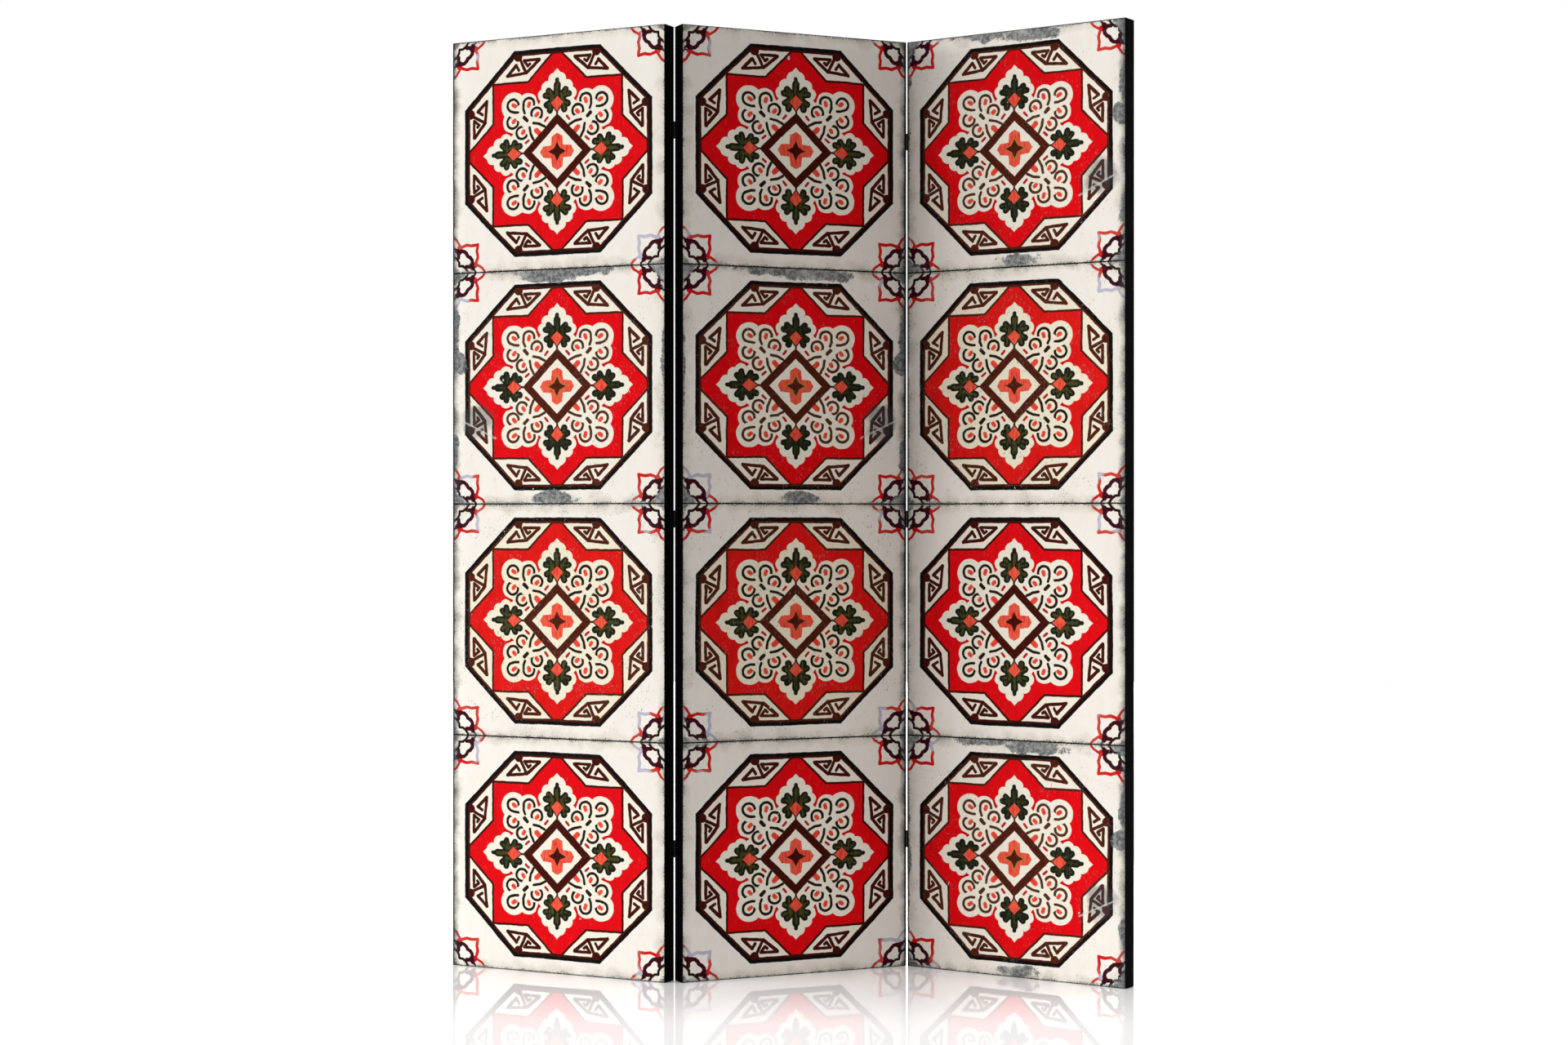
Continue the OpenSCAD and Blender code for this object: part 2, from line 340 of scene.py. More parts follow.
def star(fold):
    """A square and the same square on its corner, laid over each other."""
    return (fold.part(0) - STAR_SIDE).least(fold.dot(DIAGONAL) - STAR_CUT)


def key_pattern(fold):
    """The angular key in each cell between two points of the star."""
    return any_of(
        brush_line(fold, 5.4, (179, 37), (179, 70), (168, 62), (171.5, 57.5)),
        stroke(fold, (178, 37.5), (155, 65), 6.2),
        brush_line(fold, 5.6, (187, 81), (155, 65.5), (151, 106)),
        stroke(fold, (151, 106), (170.5, 87), 6.2),
        stroke(fold, (170.5, 87), (161, 81), 5.2),
        dot(fold, 186, 82.5, 8.5),
    )


print("the octagon is", 2 * OCTAGON_SIDE, "mm across and the star", 2 * STAR_SIDE, "mm")

# %% [markdown]
# ## The medallion
# The medallion is a white ground with scalloped edges, which round dots make by themselves. An
# oak leaf lies in each of its four arms and stands on a coral diamond. Between the leaves run
# open loops, each with a coral drop in it. The leaf is a few broad strokes that melt into each
# other, since dots alone would leave sharp notches between the lobes.

# %% Medallion
TENDRIL_WIDTH = 4.6
LEAF_MELT = 2


def medallion(fold):
    """The white ground with scalloped edges."""
    return any_of(
        dot(fold, 92.5, 92.5, 26.5),
        dot(fold, 94, 62, 21.8),
        dot(fold, 74, 66, 12),
        fold.dot(DIAGONAL) - 94,
        dot(fold, 109.5, 28.5, 12),
        dot(fold, 123.5, 20.5, 12.5),
        dot(fold, 138, 5.5, 13),
        side_of(fold, (159, 0), (149, 9)).most(142 - fold.part(0)),
    )


def leaf(fold):
    """Half an oak leaf on its stalk; the fold mirrors the other half."""
    blade = stroke(fold, (109, 0), (127, 0), 14)
    lobes = (
        ((94, 12), (108, 9), 14), ((109, 10), (117, 17.8), 11.5), ((106, 13), (108.5, 24.5), 11.5),
        ((95, 13), (90, 22), 12), ((91, 12), (80, 15), 12.5), ((128, 0), (137, 0), 7),
    )
    for start, end, width in lobes:
        blade = joined(blade, stroke(fold, start, end, width), LEAF_MELT)
    return blade.least(stroke(fold, (84, 0), (73, 0), 3))


def leaf_jewel(fold):
    """The coral diamond at the foot of each leaf."""
    return side_of(fold, (106, 0), (93.5, 12.5)).most(side_of(fold, (93.5, 12.5), (77, 0)))


def tendrils(quarter, fold):
    """The open loops of the medallion, the stems between them and the rod in the middle."""
    return any_of(
        hook(quarter, 94, 94, 11.8, TENDRIL_WIDTH, 234, 52),
        brush_line(quarter, TENDRIL_WIDTH, (97, 82.6), (90, 80.6), (83, 80.4)),
        hook(quarter, 60, 95, 11.5, TENDRIL_WIDTH, 272, 74),
        brush_line(quarter, TENDRIL_WIDTH, (71.4, 93), (71.6, 86), (68.5, 78)),
        hook(quarter, 94.5, 62, 11.8, TENDRIL_WIDTH, 117, 52),
        hook(quarter, 43, 75.5, 11.3, TENDRIL_WIDTH, 285, 50),
        hook(quarter, 74.5, 40.5, 11.6, TENDRIL_WIDTH, 148, 54),
        brush_line(fold, TENDRIL_WIDTH, (50, 26), (56, 38), (58, 50)),
        stroke(fold, (70.5, 69.5), (63.5, 63), 5.6),
    )


def coral_drops(quarter, fold):
    """The drop in each loop, and the larger one between the stems."""
    return any_of(
        stroke(quarter, (89.5, 92.5), (93.5, 95), 8.2),
        stroke(quarter, (90, 66), (93, 62.5), 8),
        stroke(quarter, (70.5, 43.5), (72.5, 40), 8),
        stroke(quarter, (59, 96), (60.5, 91), 8),
        stroke(quarter, (41, 75), (44, 72), 8.2),
        stroke(fold, (37, 37), (43.5, 43.5), 10.5),
    )


print("the tendrils are", TENDRIL_WIDTH, "mm wide")

# %% [markdown]
# ## The middle of the tile, and its corners
# A brown diamond frames a coral flower with a small dark star. At its corners a tile has only a
# quarter of a flower, and four tiles make it whole: a red outline with a purple cloud inside.
# The cloud is one scalloped line that thickens at its ends, so its strokes melt together.

# %% Middle and corners
DIAMOND_OUTSIDE = 51.8
DIAMOND_INSIDE = 37.2


def quatrefoil(fold):
    """The coral four-pointed flower in the middle of the tile."""
    return side_of(fold, (36, 0), (29.5, 11)).most(side_of(fold, (29.5, 11), (12.5, 12.5)))


def small_star(fold):
    """The dark four-pointed star in the flower."""
    return side_of(fold, (18, 0), (6, 6))


def corner_petal(fold):
    """The red outline that meets its neighbours to make a flower where four tiles join."""
    outline = any_of(
        brush_line(fold, 6.2, (170.5, 170.5), (184, 172.5), (195, 170.5), (204, 173.5)),
        brush_line(fold, 5, (209, 173), (217, 160.5), (223, 156)),
    )
    return joined(outline, dot(fold, 210, 176.5, 6), 2)


def corner_cloud(fold):
    """The purple cloud inside the flower, thick at its ends, which run out in a thin tail."""
    shape = brush_line(fold, 6.8, (192.5, 192.5), (195.5, 187), (200.5, 183), (207, 182))
    shape = joined(shape, stroke(fold, (210, 184), (216, 181.5), 9), 3)
    shape = joined(shape, stroke(fold, (213, 184), (213, 195), 7), 2)
    return joined(shape, stroke(fold, (217, 181), (223, 175.5), 3.6), 3)


def corner_arc(fold):
    """The brown line nearest the corner, from the cloud to the tile's edge."""
    return brush_line(fold, 4.4, (211, 211), (211.5, 203.5), (216, 197), (224, 191.5))


print("the diamond's frame is", round(DIAMOND_OUTSIDE - DIAMOND_INSIDE, 1), "mm wide")

# %% [markdown]
# ## Colours
# The print has few colours: black, red, coral, purple, dark browns, olive green and warm whites.
# Each is written here as it reads in the photograph, and `shown` turns it into a node's colour.
# The greys are dirt and bare clay, which show where the glaze of the old tiles is gone.

# %% Print colours
INK_BLACK = shown(12, 10, 9)
GROUND = shown(251, 246, 237)
GROUND_WARM = shown(249, 236, 222)
CREAM = shown(250, 243, 226)
CREAM_YELLOW = shown(248, 239, 214)
RED = shown(234, 8, 19)
RED_DEEP = shown(205, 8, 18)
RED_ORANGE = shown(230, 26, 22)
BROWN = shown(76, 12, 6)
BROWN_LIGHT = shown(92, 34, 18)
SEPIA = shown(38, 24, 12)
SEPIA_LIGHT = shown(84, 48, 26)
GREEN = shown(24, 29, 19)
OLIVE = shown(74, 70, 32)
GOLD = shown(198, 130, 60)
CORAL = shown(246, 98, 72)
CORAL_DEEP = shown(232, 60, 48)
ROSE = shown(186, 30, 44)
PURPLE = shown(60, 10, 26)
PETAL_RED = shown(214, 26, 26)
PETAL_PALE = shown(212, 78, 68)
LILAC = shown(196, 194, 212)
LIGHT_RED = shown(244, 74, 60)
SLATE = shown(56, 62, 65)
CHALK = shown(214, 214, 208)
STAIN = shown(186, 176, 156)
UNSTAINED = (1.0, 1.0, 1.0, 1.0)
STONE = shown(128, 134, 136)
print("the red of the star is", [round(c, 3) for c in RED[:3]], "in a node")

# %% [markdown]
# ## Three kinds of tile
# The print shows old tiles of three kinds. One is fresh and bright, one is worn grey in patches
# with brown lines, and one is rubbed and more orange. They follow each other down a panel. The
# right panel starts one kind further on, and the left panel is mirrored. Twelve pictures could
# be drawn, but one drawing is enough when the number of the tile decides how much it has aged.
# The tile is drawn 450 units wide and high, and the cloth is a little shorter than it is wide.

# %% Tile kinds
TILE_WIDTH = 450 * MM
TILE_HEIGHT = 430 * MM
TILE_UNITS = 450.0
HALF_TILE = TILE_UNITS / 2
TILE_ROWS = 4
TILE_KINDS = 3


def tile_ages(number):
    """Whether a tile is worn, whether it is rubbed and whether it is either, as 0 or 1."""
    row_from_top = TILE_ROWS - 1 - number.part(1)
    ahead_on_right = (number.part(0) * 0.5).floor()
    kind = ((row_from_top + ahead_on_right) / TILE_KINDS).fraction() * TILE_KINDS
    worn = 1 - between(abs(kind - 1), 0.4, 0.6)
    return worn, between(kind, 1.4, 1.6), between(kind, 0.4, 0.6)


print("a tile on the cloth is", TILE_WIDTH, "m wide and", TILE_HEIGHT, "m high")

# %% [markdown]
# ## Painting in layers
# The layers are laid in the order a painter would: the ground, the star, the medallion, the
# middle, the corners, and last of all the wear. A wandering noise moves every outline a little,
# as a hand does. Each layer covers what lies under it, so no shape has to be cut out.

# %% Layers of the print
def paint_star(colour, fold, streaks, brown, cream, red):
    """The black octagon with a brown band, the cells with their keys, and the red star."""
    frame_line = octagon(fold)
    edge = star(fold)
    colour = lay(colour, frame_line, INK_BLACK, BLEED)
    colour = lay(colour, frame_line + 6.8 + (streaks - 0.5) * 5, brown)
    colour = lay(colour, (frame_line + 11).most(4.4 - edge), cream)
    colour = lay(colour, key_pattern(fold).most(frame_line + 10), brown, BLEED)
    return lay(colour, edge.most(fold.part(0) - 187), red)


def paint_medallion(colour, quarter, fold, brush, worn, cream, coral):
    """The medallion with its leaves, jewels, tendrils and drops."""
    jewel = leaf_jewel(fold)
    blade = leaf(fold)
    glint = between(blade - brush * 16 + 8, -3, -5.4) * (1 - worn * 0.6)
    drops = coral_drops(quarter, fold)
    colour = lay(colour, medallion(fold), cream)
    colour = lay(colour, stroke(fold, (96.5, 38.6), (108, 43), 4), RED_DEEP, BLEED)
    colour = lay(colour, blade.least(jewel - 1.8), blend(glint, GREEN, OLIVE), 0.6)
    colour = lay(colour, jewel, coral)
    colour = lay(colour, tendrils(quarter, fold), blend(worn, SEPIA, SEPIA_LIGHT), BLEED)
    colour = lay(colour, drops, coral)
    colour = blend(inside(drops + 2.2) * 0.6, colour, CORAL_DEEP)
    return lay(colour, stroke(fold, (60.5, 25), (66.5, 20), 5), ROSE)


def paint_middle(colour, fold, worn, brown, cream, coral):
    """The brown diamond, the coral flower and its star, which has a gold edge on worn tiles."""
    diagonal = fold.dot(DIAGONAL)
    colour = lay(colour, diagonal - DIAMOND_OUTSIDE, brown)
    colour = lay(colour, diagonal - DIAMOND_INSIDE, cream)
    colour = lay(colour, quatrefoil(fold), coral)
    colour = blend(inside(small_star(fold), 2.2) * worn, colour, GOLD)
    return lay(colour, small_star(fold), brown, BLEED)


def paint_corner(colour, roll, fold):
    """The quarter flower; its red outline fades to a pale red and to lilac in places."""
    fading = noise(roll, 14, 1)
    petal = blend(between(fading, 0.44, 0.56), PETAL_RED, PETAL_PALE)
    petal = blend(between(fading, 0.57, 0.60), petal, LILAC)
    colour = lay(colour, corner_petal(fold), petal)
    colour = lay(colour, corner_arc(fold), SEPIA, BLEED)
    return lay(colour, corner_cloud(fold), PURPLE, BLEED)


LAYERS = (paint_star, paint_medallion, paint_middle, paint_corner)
print("painted over the ground:", [paint.__name__ for paint in LAYERS])

# %% [markdown]
# ## The whole print
# The map on the roll tells on which tile a point lies and where in the tile. Counted from the
# middle of the tile, that place gives `quarter` and `fold`, in which the shapes are drawn. The
# noises are stretched the way a brush or a scrub would have run.

# %% The print
WANDER = 3.2
TREMBLE = 2.2
CLOTH_SHEEN = {"Roughness": 0.7, "Specular IOR Level": 0.03}


def felt(point):
    """The low relief of non-woven cloth: short fibres pressed together."""
    fibres = noise(point, 900, 3, 0.65)
    return point.node(
        "ShaderNodeBump", sockets={"Strength": 0.3, "Distance": 0.0003, "Height": fibres}
    )


def print_paint(start):
    """The printed cloth: the tile ornament, painted in order from the ground up."""
    roll = start.node("ShaderNodeUVMap", {"uv_map": "roll"})
    wander = noise(roll, 9, 1, colour=True) * WANDER + noise(roll, 85, 2, colour=True) * TREMBLE
    half_way = (WANDER + TREMBLE) / 2
    tile = roll / (TILE_WIDTH, TILE_HEIGHT, 1.0)
    number = tile.floor()
    worn, rubbed, aged = tile_ages(number)
    mirror = between(number.part(0), 0.2, 0.8) * 2 - 1
    flip = start.node(
        "ShaderNodeCombineXYZ", sockets={0: mirror * TILE_UNITS, 1: TILE_UNITS, 2: 0.0}
    )
    exact = (tile.fraction() - (0.5, 0.5, 0)) * flip
    point = exact + (wander - (half_way, half_way, 0)) * (1, 1, 0)
    quarter = abs(point)
    wide, tall = quarter.part(0), quarter.part(1)
    fold = start.node("ShaderNodeCombineXYZ", sockets={0: wide.most(tall), 1: wide.least(tall)})

    streaks = noise(roll * (1.0, 0.35, 1.0), 60, 4, 0.6)
    mottle = noise(roll, 95, 4, 0.65)
    brush = noise(roll * (1.0, 0.16, 1.0), 300, 3, 0.6)
    scuff = between(noise(roll * (1.0, 0.3, 1.0), 190, 3, 0.6), 0.62, 0.68) * 0.3
    ground = blend(between(streaks, 0.4, 0.75) * 0.6, GROUND, GROUND_WARM)
    brown = blend(between(mottle, 0.35, 0.75) * 0.8, blend(aged, BROWN, BROWN_LIGHT), SEPIA)
    cream = blend(rubbed, CREAM, CREAM_YELLOW)
    red = blend(between(streaks, 0.45, 0.7) * 0.5, blend(rubbed, RED, RED_ORANGE), RED_DEEP)
    coral = blend(between(brush, 0.46, 0.62), CORAL, CORAL_DEEP)

    colour = paint_star(ground, fold, streaks, brown, cream, blend(scuff, red, LIGHT_RED))
    colour = paint_medallion(colour, quarter, fold, brush, worn, cream, coral)
    colour = paint_middle(colour, fold, worn, brown, cream, coral)
    colour = paint_corner(colour, roll, fold)
    colour = age(roll, exact, colour, worn, rubbed)
    return {"Base Color": colour, "Normal": felt(roll), **CLOTH_SHEEN}


print("outlines wander by up to", (WANDER + TREMBLE) / 2, "mm")

# %% [markdown]
# ## Wear
# Old tiles are chipped and dirty at their edges, worn grey where they were rubbed, and specked
# all over. Each kind of wear is a noise that is cut off at a level, and the level changes with
# the distance from the tile's edge, so that dirt gathers where two tiles meet. One side edge of
# each tile is dirtier than the other. Worn tiles also have long grey patches and a scratch. A
# patch is a round dot on a map that is squeezed one way, which draws the dot out that way.

# %% Dirt, chips and joints
JOINT_LINE = 223.3
SIDE_JOINT_LINE = 222.6
DIRTY_JOINT_LINE = 222
CHIP_LINE = 222
CHIP_CORNER = 304
EDGE_PATCHES = (
    (0.21, 1, 8, 214, 13),
    (0.18, 1, -11, 221, 9),
    (0.29, 1, 2, -213, 12),
    (1, 0.23, 220, 26, 9),
    (1, 0.76, 212, 36, 15),
    (1, 0.29, 221, -37, 9),
    (1, 0.06, -HALF_TILE, 1, 5),
)


def long_patches(exact):
    """The patches, from their squeeze in x and y, and their middle and radius on that map."""
    return any_of(
        *(dot(exact * (in_x, in_y, 0), x, y, size) for in_x, in_y, x, y, size in EDGE_PATCHES)
    )


def age(roll, exact, colour, worn, rubbed):
    """Wear over the finished ornament."""
    rim = abs(exact)
    near_edge = rim.part(0).most(rim.part(1))
    grain = noise(roll, 420, 3, 0.7)
    cloud = noise(roll, 24, 4, 0.6)
    fray = grain - 0.5
    drift = cloud - 0.5

    stain = between(near_edge + drift * 60, 206, 228)
    colour = colour * blend(stain * 0.5, UNSTAINED, STAIN)
    speckle = between(grain, 0.68, 0.72)
    colour = blend(speckle * 0.7, colour, SLATE)
    scrape = between(noise(roll * (1.0, 0.45, 1.0), 330, 3, 0.7), 0.58, 0.64)
    scrape = scrape * between(cloud, 0.5, 0.58)
    colour = blend(scrape * (rubbed * 0.6 + worn * 0.35 + 0.1), colour, STONE)
    fleck = between(noise(roll, 60, 2, 0.5), 0.765, 0.775)
    colour = blend(fleck, colour, CHALK)

    dull = between(dot(exact, 174, -66, 32) + drift * 60, 8, -8) * worn
    colour = blend(dull * 0.55, colour, SLATE)
    scratch = stroke(exact, (203, -64), (132, -98), 2.5) + fray * 9
    colour = blend(between(scratch, 1, -1) * worn * 0.7, colour, CHALK)

    crumb = noise(roll, 900, 3, 0.7)
    crust = blend(between(noise(roll, 130, 3, 0.6), 0.46, 0.56), SLATE, STONE)
    crust = blend(between(crumb + drift * 0.6, 0.55, 0.62), crust, CHALK)
    near_corner = rim.dot(DIAGONAL) - CHIP_CORNER + worn * 9
    chipped = (near_edge - CHIP_LINE).most(near_corner) + (fray * 26 + drift * 22)
    torn = between(long_patches(exact) + drift * 34 + fray * 10, 1, -1) * worn
    colour = blend(between(chipped, 0, 1.5).most(torn) * 0.9, colour, crust)

    dirty_side = exact.part(0)
    grime = between(dirty_side + drift * 24 + fray * 12, 211, 226)
    colour = blend(grime * 0.9, colour, SLATE)
    side_joint = (rim.part(0) - SIDE_JOINT_LINE).most(dirty_side - DIRTY_JOINT_LINE)
    joint = between((near_edge - JOINT_LINE).most(side_joint) + fray * 2.4, 0, 0.8)
    return blend(joint, colour, INK_BLACK)


print_finish = surface("printed_cloth", print_paint)

# %% [markdown]
# ## The printed cloth
# Each print is one piece of non-woven cloth, pulled tight over the frame and folded round its
# edges, where staples hold it. It could be a flat plate, but the fold over the edge is what
# catches the light. So it starts as a box, loses its back, and has its front edges rounded.
# The flat front is then cut into a grid and drawn in very slightly, as stretched cloth lies
# over a frame that touches it only at the rim. The thickness comes from Solidify.

# %% Cloth trays
CLOTH_WIDTH = PANEL_WIDTH - 2 * TAPE
CLOTH_HEIGHT = PANEL_HEIGHT - 2 * TAPE
TURN_BACK = 13 * MM
EDGE_ROUND = 0.9 * MM
EDGE_STEPS = 4
HOLLOW = 0.25 * MM
HOLLOW_RISE = 6
GRID = 30 * MM
TINY = 1e-6


def open_box(width, depth, height):
    """A box with its lowest z at 0 and no back, its front at y = 0."""
    shell = bmesh.new()
    bmesh.ops.create_cube(shell, size=1)
    bmesh.ops.scale(shell, vec=(width, depth, height), verts=shell.verts)
    bmesh.ops.translate(shell, vec=(0, depth / 2, height / 2), verts=shell.verts)
    back = [f for f in shell.faces if f.normal.y > 0.5]
    bmesh.ops.delete(shell, geom=back, context="FACES")
    return shell


def cut_grid(shell):
    """Cuts the mesh along evenly spaced upright and level planes."""
    upright = (Vector((1, 0, 0)), CLOTH_WIDTH, -CLOTH_WIDTH / 2)
    level = (Vector((0, 0, 1)), CLOTH_HEIGHT, 0.0)
    for normal, length, start in (upright, level):
        count = round(length / GRID)
        for step in range(1, count):
            geometry = [*shell.verts, *shell.edges, *shell.faces]
            bmesh.ops.bisect_plane(
                shell, geom=geometry, dist=TINY,
                plane_co=normal * (start + length * step / count), plane_no=normal,
            )


def drum(x, z):
    """How far the stretched cloth lies back from its rim at a point of the panel."""
    across = 1 - (2 * x / CLOTH_WIDTH) ** 2
    along = min(1.0, HOLLOW_RISE * (z / CLOTH_HEIGHT) * (1 - z / CLOTH_HEIGHT))
    return HOLLOW * max(0.0, across) * max(0.0, along)


def cloth_tray():
    """One stretched cloth, its face at y = 0 and towards -y."""
    shell = open_box(CLOTH_WIDTH, TURN_BACK + CLOTH, CLOTH_HEIGHT)
    edges = [e for e in shell.edges if not e.is_boundary]
    bmesh.ops.bevel(
        shell, geom=edges, offset=EDGE_ROUND, segments=EDGE_STEPS, profile=0.5, affect="EDGES",
        material=-1,
    )
    cut_grid(shell)
    for vertex in shell.verts:
        if vertex.co.y < TINY:
            vertex.co.y += drum(vertex.co.x, vertex.co.z)
    bmesh.ops.recalc_face_normals(shell, faces=shell.faces)
    return shell


sample = cloth_tray()
print("a cloth skin has", len(sample.faces), "faces, and", TURN_BACK, "m of it turn back")
sample.free()

# %% [markdown]
# ## Laying the print on the cloth
# The three prints are cut one after another from one roll that is printed 450 mm to the tile,
# so the map is in metres along the roll. On the folded edges the map runs on round the corner,
# as the cloth does, by the distance from the front.

# %% Placing cloths
ROLL_PLACE = {"left": 0, "middle": 1, "right": 2}
SMOOTH_ANGLE = math.radians(40)


def map_on_roll(shell, place):
    """Gives the mesh its place on the roll of cloth, in metres."""
    layer = shell.loops.layers.uv.new("roll")
    for face in shell.faces:
        for loop in face.loops:
            x, y, z = loop.vert.co
            u, v = x + PANEL_WIDTH / 2, z + TAPE
            if abs(x) > CLOTH_WIDTH / 2 - TINY:
                u += math.copysign(y, x)
            if abs(z - CLOTH_HEIGHT / 2) > CLOTH_HEIGHT / 2 - TINY:
                v += math.copysign(y, z - CLOTH_HEIGHT / 2)
            loop[layer].uv = (u + place * PANEL_WIDTH, v)


def settle(shell, name, matrix, finish, body):
    """Makes the object, with its place in its mesh, and puts it on its body."""
    bmesh.ops.transform(shell, matrix=matrix, verts=shell.verts)
    mesh = bpy.data.meshes.new(name)
    shell.to_mesh(mesh)
    shell.free()
    piece = bpy.data.objects.new(name, mesh)
    bpy.context.scene.collection.objects.link(piece)
    mesh.materials.append(finish)
    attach(piece, body)
    return piece


def shade_smooth(piece):
    """Smooth shading that keeps the sharper edges."""
    piece.data.shade_smooth()
    piece.data.set_sharp_from_angle(angle=SMOOTH_ANGLE)


def thicken(piece, thickness):
    """Gives a skin its thickness inwards."""
    wall = piece.modifiers.new("thickness", "SOLIDIFY")
    wall.thickness = thickness
    wall.offset = -1


def stretch(cloth, side, node):
    """Finishes a cloth that takes a node's place, held stretched over the panel's boards."""
    shade_smooth(cloth)
    thicken(cloth, CLOTH)
    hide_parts(f"{side}_panel_{node}")


for side, place in ROLL_PLACE.items():
    shell = cloth_tray()
    map_on_roll(shell, place)
    forward = Matrix.Translation((0, -PANEL_DEPTH / 2, TAPE))
    cloth = settle(
        shell, f"{side}_print", panel_place(side) @ forward, print_finish,
        f"{side}_panel",
    )
    stretch(cloth, side, "print_cloth")
    print("stretched", cloth.name, "with", len(cloth.data.polygons), "faces")

# %% [markdown]
# ## The lining
# The photograph shows only the front. Such a screen has plain cloth stapled over the back, so
# that the boards are hidden, and it is made as the print is, turned round. The cloth is
# off-white and non-woven: its look is in the short fibres pressed together, which show as
# faint streaks and a low felt-like relief.

# %% Lining cloths
LINING_WHITE = shown(236, 232, 222)
LINING_SHADE = shown(222, 216, 203)


def felt_paint(start):
    """Off-white cloth of pressed fibres, with a dimple wherever they were bonded."""
    point = start.node("ShaderNodeTexCoord", output=3)
    fibres = noise(point * (1.0, 1.0, 0.5), 900, 4, 0.65)
    cloud = noise(point, 14, 3, 0.55)
    dimples = point.node(
        "ShaderNodeTexVoronoi", {"feature": "F1"}, {"Vector": point, "Scale": 900.0}
    )
    shade = between(fibres, 0.35, 0.7) * 0.6 + between(cloud, 0.35, 0.7) * 0.4
    relief = point.node(
        "ShaderNodeBump",
        sockets={"Strength": 0.35, "Distance": 0.0003, "Height": fibres + dimples * 0.5},
    )
    return {
        "Base Color": blend(shade, LINING_WHITE, LINING_SHADE),
        "Roughness": between(fibres, 0.0, 1.0) * 0.1 + 0.8,
        "Specular IOR Level": 0.2,
        "Normal": relief,
    }


lining_finish = surface("lining_cloth", felt_paint)
about_turn = Matrix.Rotation(math.pi, 4, "Z")
for side in ROLL_PLACE:
    backward = Matrix.Translation((0, PANEL_DEPTH / 2, TAPE)) @ about_turn
    lining = settle(
        cloth_tray(), f"{side}_lining", panel_place(side) @ backward, lining_finish,
        f"{side}_panel",
    )
    stretch(lining, side, "lining_cloth")
    print("lined the back of the", side, "panel")

# %% [markdown]
# ## The edge tape
# A strip of black tape runs round all four edges of a panel and hides the folded cloths. It is
# as wide as the panel is deep. A box with its front and back removed would do, but its corners
# would be sharp. So the strip is closed between an outer and an inner outline, both with corners
# that are round as tape bends. The uprights that face a neighbour carry a thicker strip, because
# the gap between two panels shows only as a thin line in the photograph.

# %% Tape rings
TAPE_BLACK = shown(3, 3, 3)
TAPE_WORN = shown(14, 13, 13)
CORNER_ROUND = 1.2 * MM
CORNER_STEPS = 5
DOUBLE_TAPE = 0.8 * MM
DOUBLED = {"left": (0, 1), "middle": (1, 1), "right": (1, 0)}


def round_outline(left, right, low, high, radius):
    """Points round a rectangle with round corners, counter-clockwise from the lower right."""
    corners = (
        (right - radius, low + radius, -90), (right - radius, high - radius, 0),
        (left + radius, high - radius, 90), (left + radius, low + radius, 180),
    )
    points = []
    for x, z, start in corners:
        for step in range(CORNER_STEPS + 1):
            angle = math.radians(start + 90 * step / CORNER_STEPS)
            points.append((x + radius * math.cos(angle), z + radius * math.sin(angle)))
    return points


def tape_ring(doubled):
    """A closed strip round the panel, thicker at the uprights where it is doubled."""
    half = PANEL_WIDTH / 2
    outside = round_outline(
        -half - doubled[0] * DOUBLE_TAPE, half + doubled[1] * DOUBLE_TAPE, 0.0, PANEL_HEIGHT,
        CORNER_ROUND,
    )
    within = round_outline(TAPE - half, half - TAPE, TAPE, PANEL_HEIGHT - TAPE, CORNER_ROUND - TAPE)
    shell = bmesh.new()
    rings = [
        [shell.verts.new((x, depth, z)) for x, z in outline]
        for outline, depth in (
            (outside, 0.0), (outside, PANEL_DEPTH), (within, PANEL_DEPTH), (within, 0.0)
        )
    ]
    for ring, onward in zip(rings, rings[1:] + rings[:1]):
        for first in range(len(ring)):
            second = (first + 1) % len(ring)
            shell.faces.new((ring[first], ring[second], onward[second], onward[first]))
    bmesh.ops.recalc_face_normals(shell, faces=shell.faces)
    return shell


def tape_paint(start):
    """Black cloth tape, worn a little paler in places."""
    point = start.node("ShaderNodeTexCoord", output=3)
    weave = noise(point * (1.0, 1.0, 0.4), 1400, 2, 0.5)
    rub = noise(point, 30, 4, 0.6)
    relief = point.node(
        "ShaderNodeBump", sockets={"Strength": 0.3, "Distance": 0.0002, "Height": weave}
    )
    return {
        "Base Color": blend(between(rub, 0.55, 0.8) * 0.5, TAPE_BLACK, TAPE_WORN),
        "Roughness": between(rub, 0.3, 0.8) * 0.2 + 0.55,
        "Specular IOR Level": 0.008,
        "Normal": relief,
    }


tape_finish = surface("edge_tape", tape_paint)
for side in PANEL_TURN:
    forward = Matrix.Translation((0, -PANEL_DEPTH / 2, 0))
    tape = settle(
        tape_ring(DOUBLED[side]), f"{side}_tape", panel_place(side) @ forward, tape_finish,
        f"{side}_panel",
    )
    shade_smooth(tape)
    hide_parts(f"{side}_panel_edge_tape")
    print("taped the", side, "panel")

# %% [markdown]
# ## Hinges, pins and screws
# The hinges are small steel butts sprayed black. Their shape is right in the frame, down to the
# knuckles and the cross in each screw, so they only need a finish: satin paint with a fine
# orange-peel relief, rubbed through to brighter bare steel in scattered patches.

# %% Metal finishes
PAINT_BLACK = shown(14, 14, 15)
BARE_STEEL = shown(96, 94, 92)


